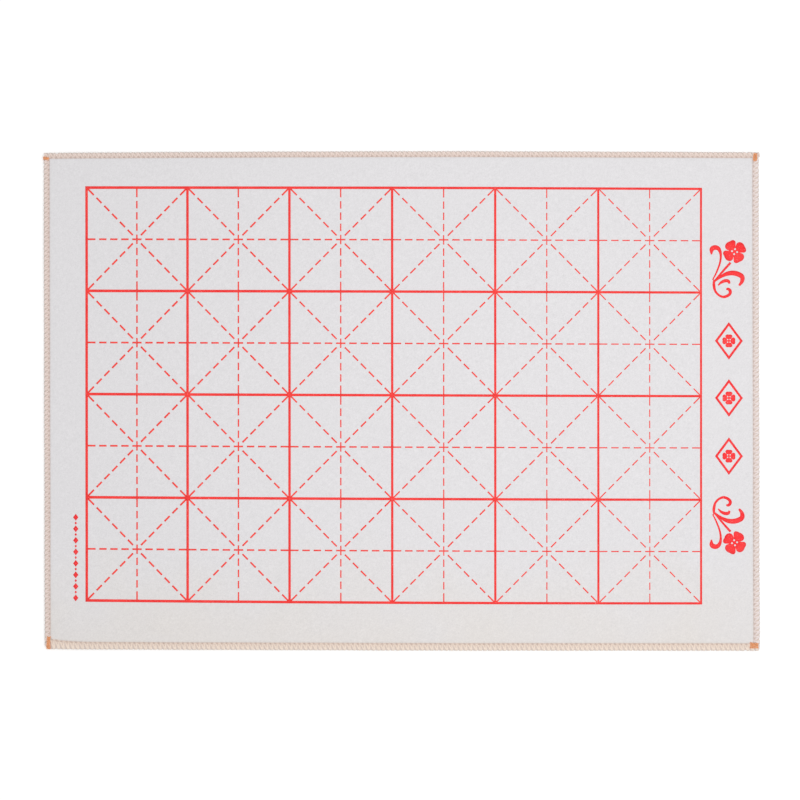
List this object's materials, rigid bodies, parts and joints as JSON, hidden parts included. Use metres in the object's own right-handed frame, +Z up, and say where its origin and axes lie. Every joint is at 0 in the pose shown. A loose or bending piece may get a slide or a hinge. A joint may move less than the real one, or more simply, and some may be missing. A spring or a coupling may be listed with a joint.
{
  "type": "calligraphy felt mat",
  "caption": "Flat rectangular mat of pale felt that goes under paper for brush writing, printed in red with a practice grid and flower scrolls, its edges bound with peach overlock stitching.",
  "frame": {"origin": "middle of the mat's outline, on the underside that rests on the desk", "axes": "+X along the long side, towards the printed flower scrolls; +Y across, towards the picture's upper edge; +Z up, out of the printed face"},
  "size_m": [0.7, 0.4881, 0.0031],
  "materials": {
    "felt": "matte needle-punched felt, off-white",
    "thread": "textured polyester sewing thread, pale peach",
    "lock_thread": "spun polyester sewing thread, orange",
    "ink": "matte red screen-printing ink, soaked into the felt's surface"
  },
  "bodies": {
    "root": {"felt_sheet": "felt", "needle_thread_front": "thread", "needle_thread_right": "thread", "needle_thread_back": "thread", "needle_thread_left": "thread", "upper_looper_thread_front": "thread", "upper_looper_thread_right": "thread", "upper_looper_thread_back": "thread", "upper_looper_thread_left": "thread", "lower_looper_thread_front": "thread", "lower_looper_thread_right": "thread", "lower_looper_thread_back": "thread", "lower_looper_thread_left": "thread", "corner_lock_front_left": "lock_thread", "corner_lock_front_right": "lock_thread", "corner_lock_back_right": "lock_thread", "corner_lock_back_left": "lock_thread", "printed_grid": "ink", "printed_scroll_back": "ink", "printed_blossom_back": "ink", "printed_scroll_front": "ink", "printed_blossom_front": "ink"}
  },
  "joints": []
}
